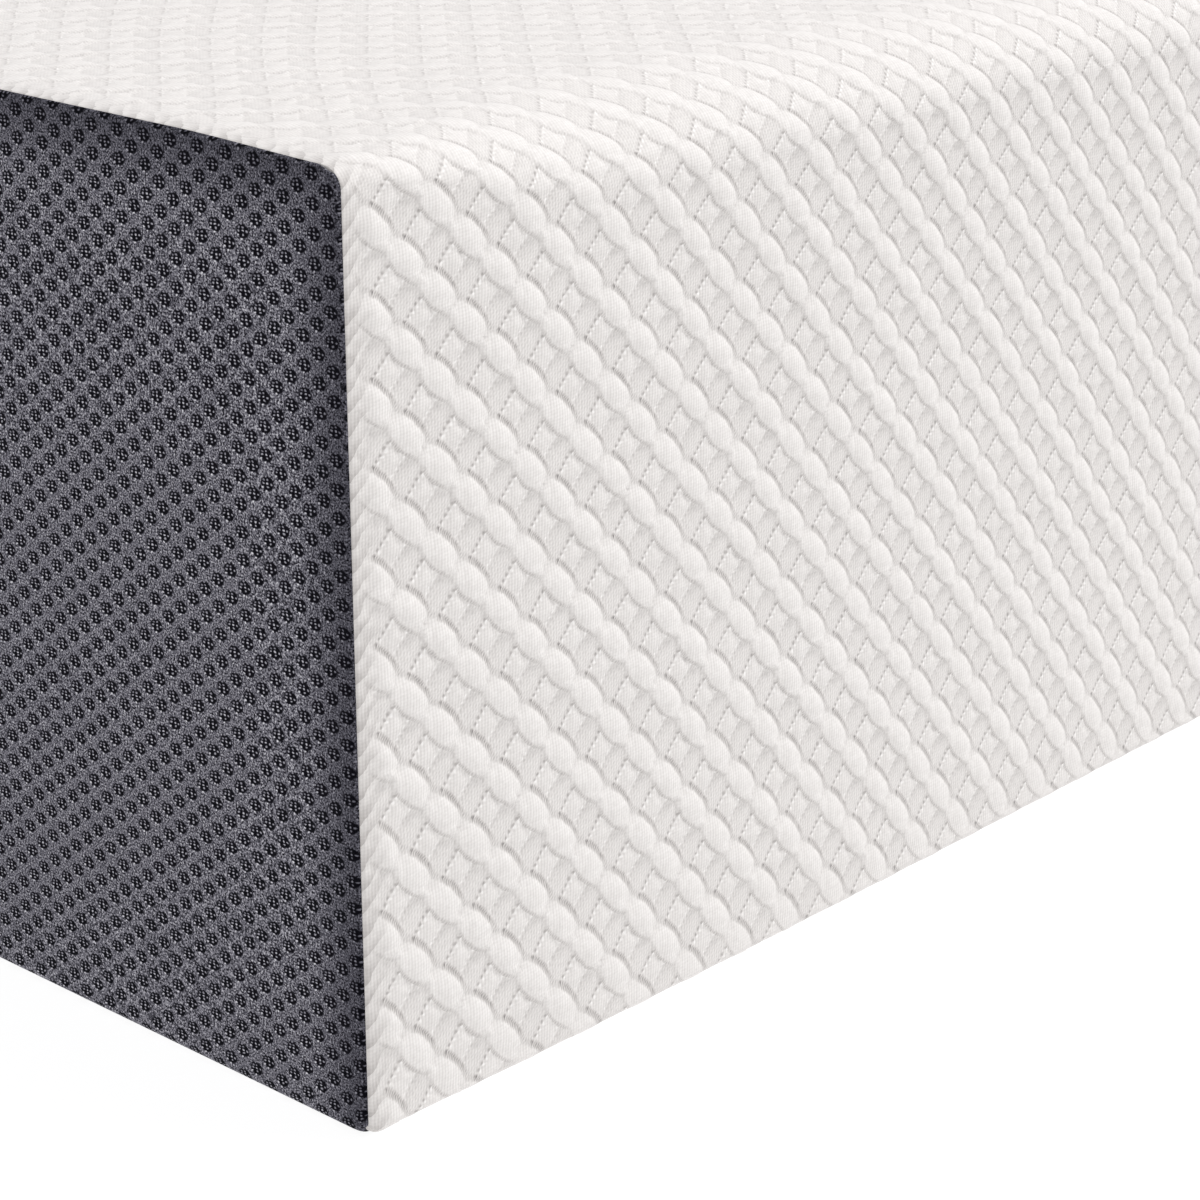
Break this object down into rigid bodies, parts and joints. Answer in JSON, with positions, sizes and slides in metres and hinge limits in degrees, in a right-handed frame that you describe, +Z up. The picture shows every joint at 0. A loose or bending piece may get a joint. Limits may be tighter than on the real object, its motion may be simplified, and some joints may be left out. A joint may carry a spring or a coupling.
{
  "type": "memory foam mattress",
  "caption": "Block-shaped foam mattress in a white quilted diamond-knit cover with dark dotted end panels and a zip along the rear lower edge.",
  "frame": {"origin": "middle of the underside, on the surface that the mattress lies on", "axes": "+X from foot to head along the bed, +Y across it towards the side with the zip, +Z up"},
  "size_m": [1.905, 0.965, 0.254],
  "materials": {
    "jacquard_knit": "white double-knit jacquard with raised diamond quilting, matt",
    "dotted_knit": "mid-grey heathered knit with small near-black dotted motifs, matt",
    "underside_fabric": "plain grey brushed knit, matt",
    "sewing_thread": "spun polyester overlock thread",
    "fire_barrier_knit": "plain off-white tubular knit",
    "memory_foam": "slow-recovery polyurethane foam, pale cream, fine cells",
    "comfort_foam": "open-cell polyurethane foam, pale blue",
    "support_foam": "firm polyurethane foam, white",
    "zip_tape": "woven polyester tape",
    "zip_nylon": "nylon coil teeth, satin",
    "zip_metal": "die-cast zinc, satin lacquer",
    "label_satin": "woven satin ribbon, blank"
  },
  "bodies": {
    "mattress": {"cover_top_and_sides": "jacquard_knit", "end_panel_foot": "dotted_knit", "end_panel_head": "dotted_knit", "bottom_panel": "underside_fabric", "overlock_seam_foot": "sewing_thread", "overlock_seam_head": "sewing_thread", "overlock_seam_bottom": "sewing_thread", "inner_sock": "fire_barrier_knit", "memory_foam_layer": "memory_foam", "comfort_foam_layer": "comfort_foam", "support_foam_base": "support_foam", "zip_tape_upper": "zip_tape", "zip_tape_lower": "zip_tape", "zip_coil_upper": "zip_nylon", "zip_coil_lower": "zip_nylon", "zip_stop_open_end": "zip_nylon", "zip_stop_closed_end": "zip_nylon", "care_label": "label_satin"},
    "zip_slider": {"zip_slider": "zip_metal"},
    "zip_pull": {"zip_pull": "zip_metal"}
  },
  "joints": [
    {"name": "zip_travel", "type": "slide", "parent": "mattress", "child": "zip_slider", "axis": [-1, 0, 0], "range_m": [0, 1.68]},
    {"name": "pull_turn", "type": "hinge", "parent": "zip_slider", "child": "zip_pull", "pos_m": [0.8439, 0.4803, 0.024], "axis": [0, 0, 1], "range_deg": [-178, 0]}
  ]
}
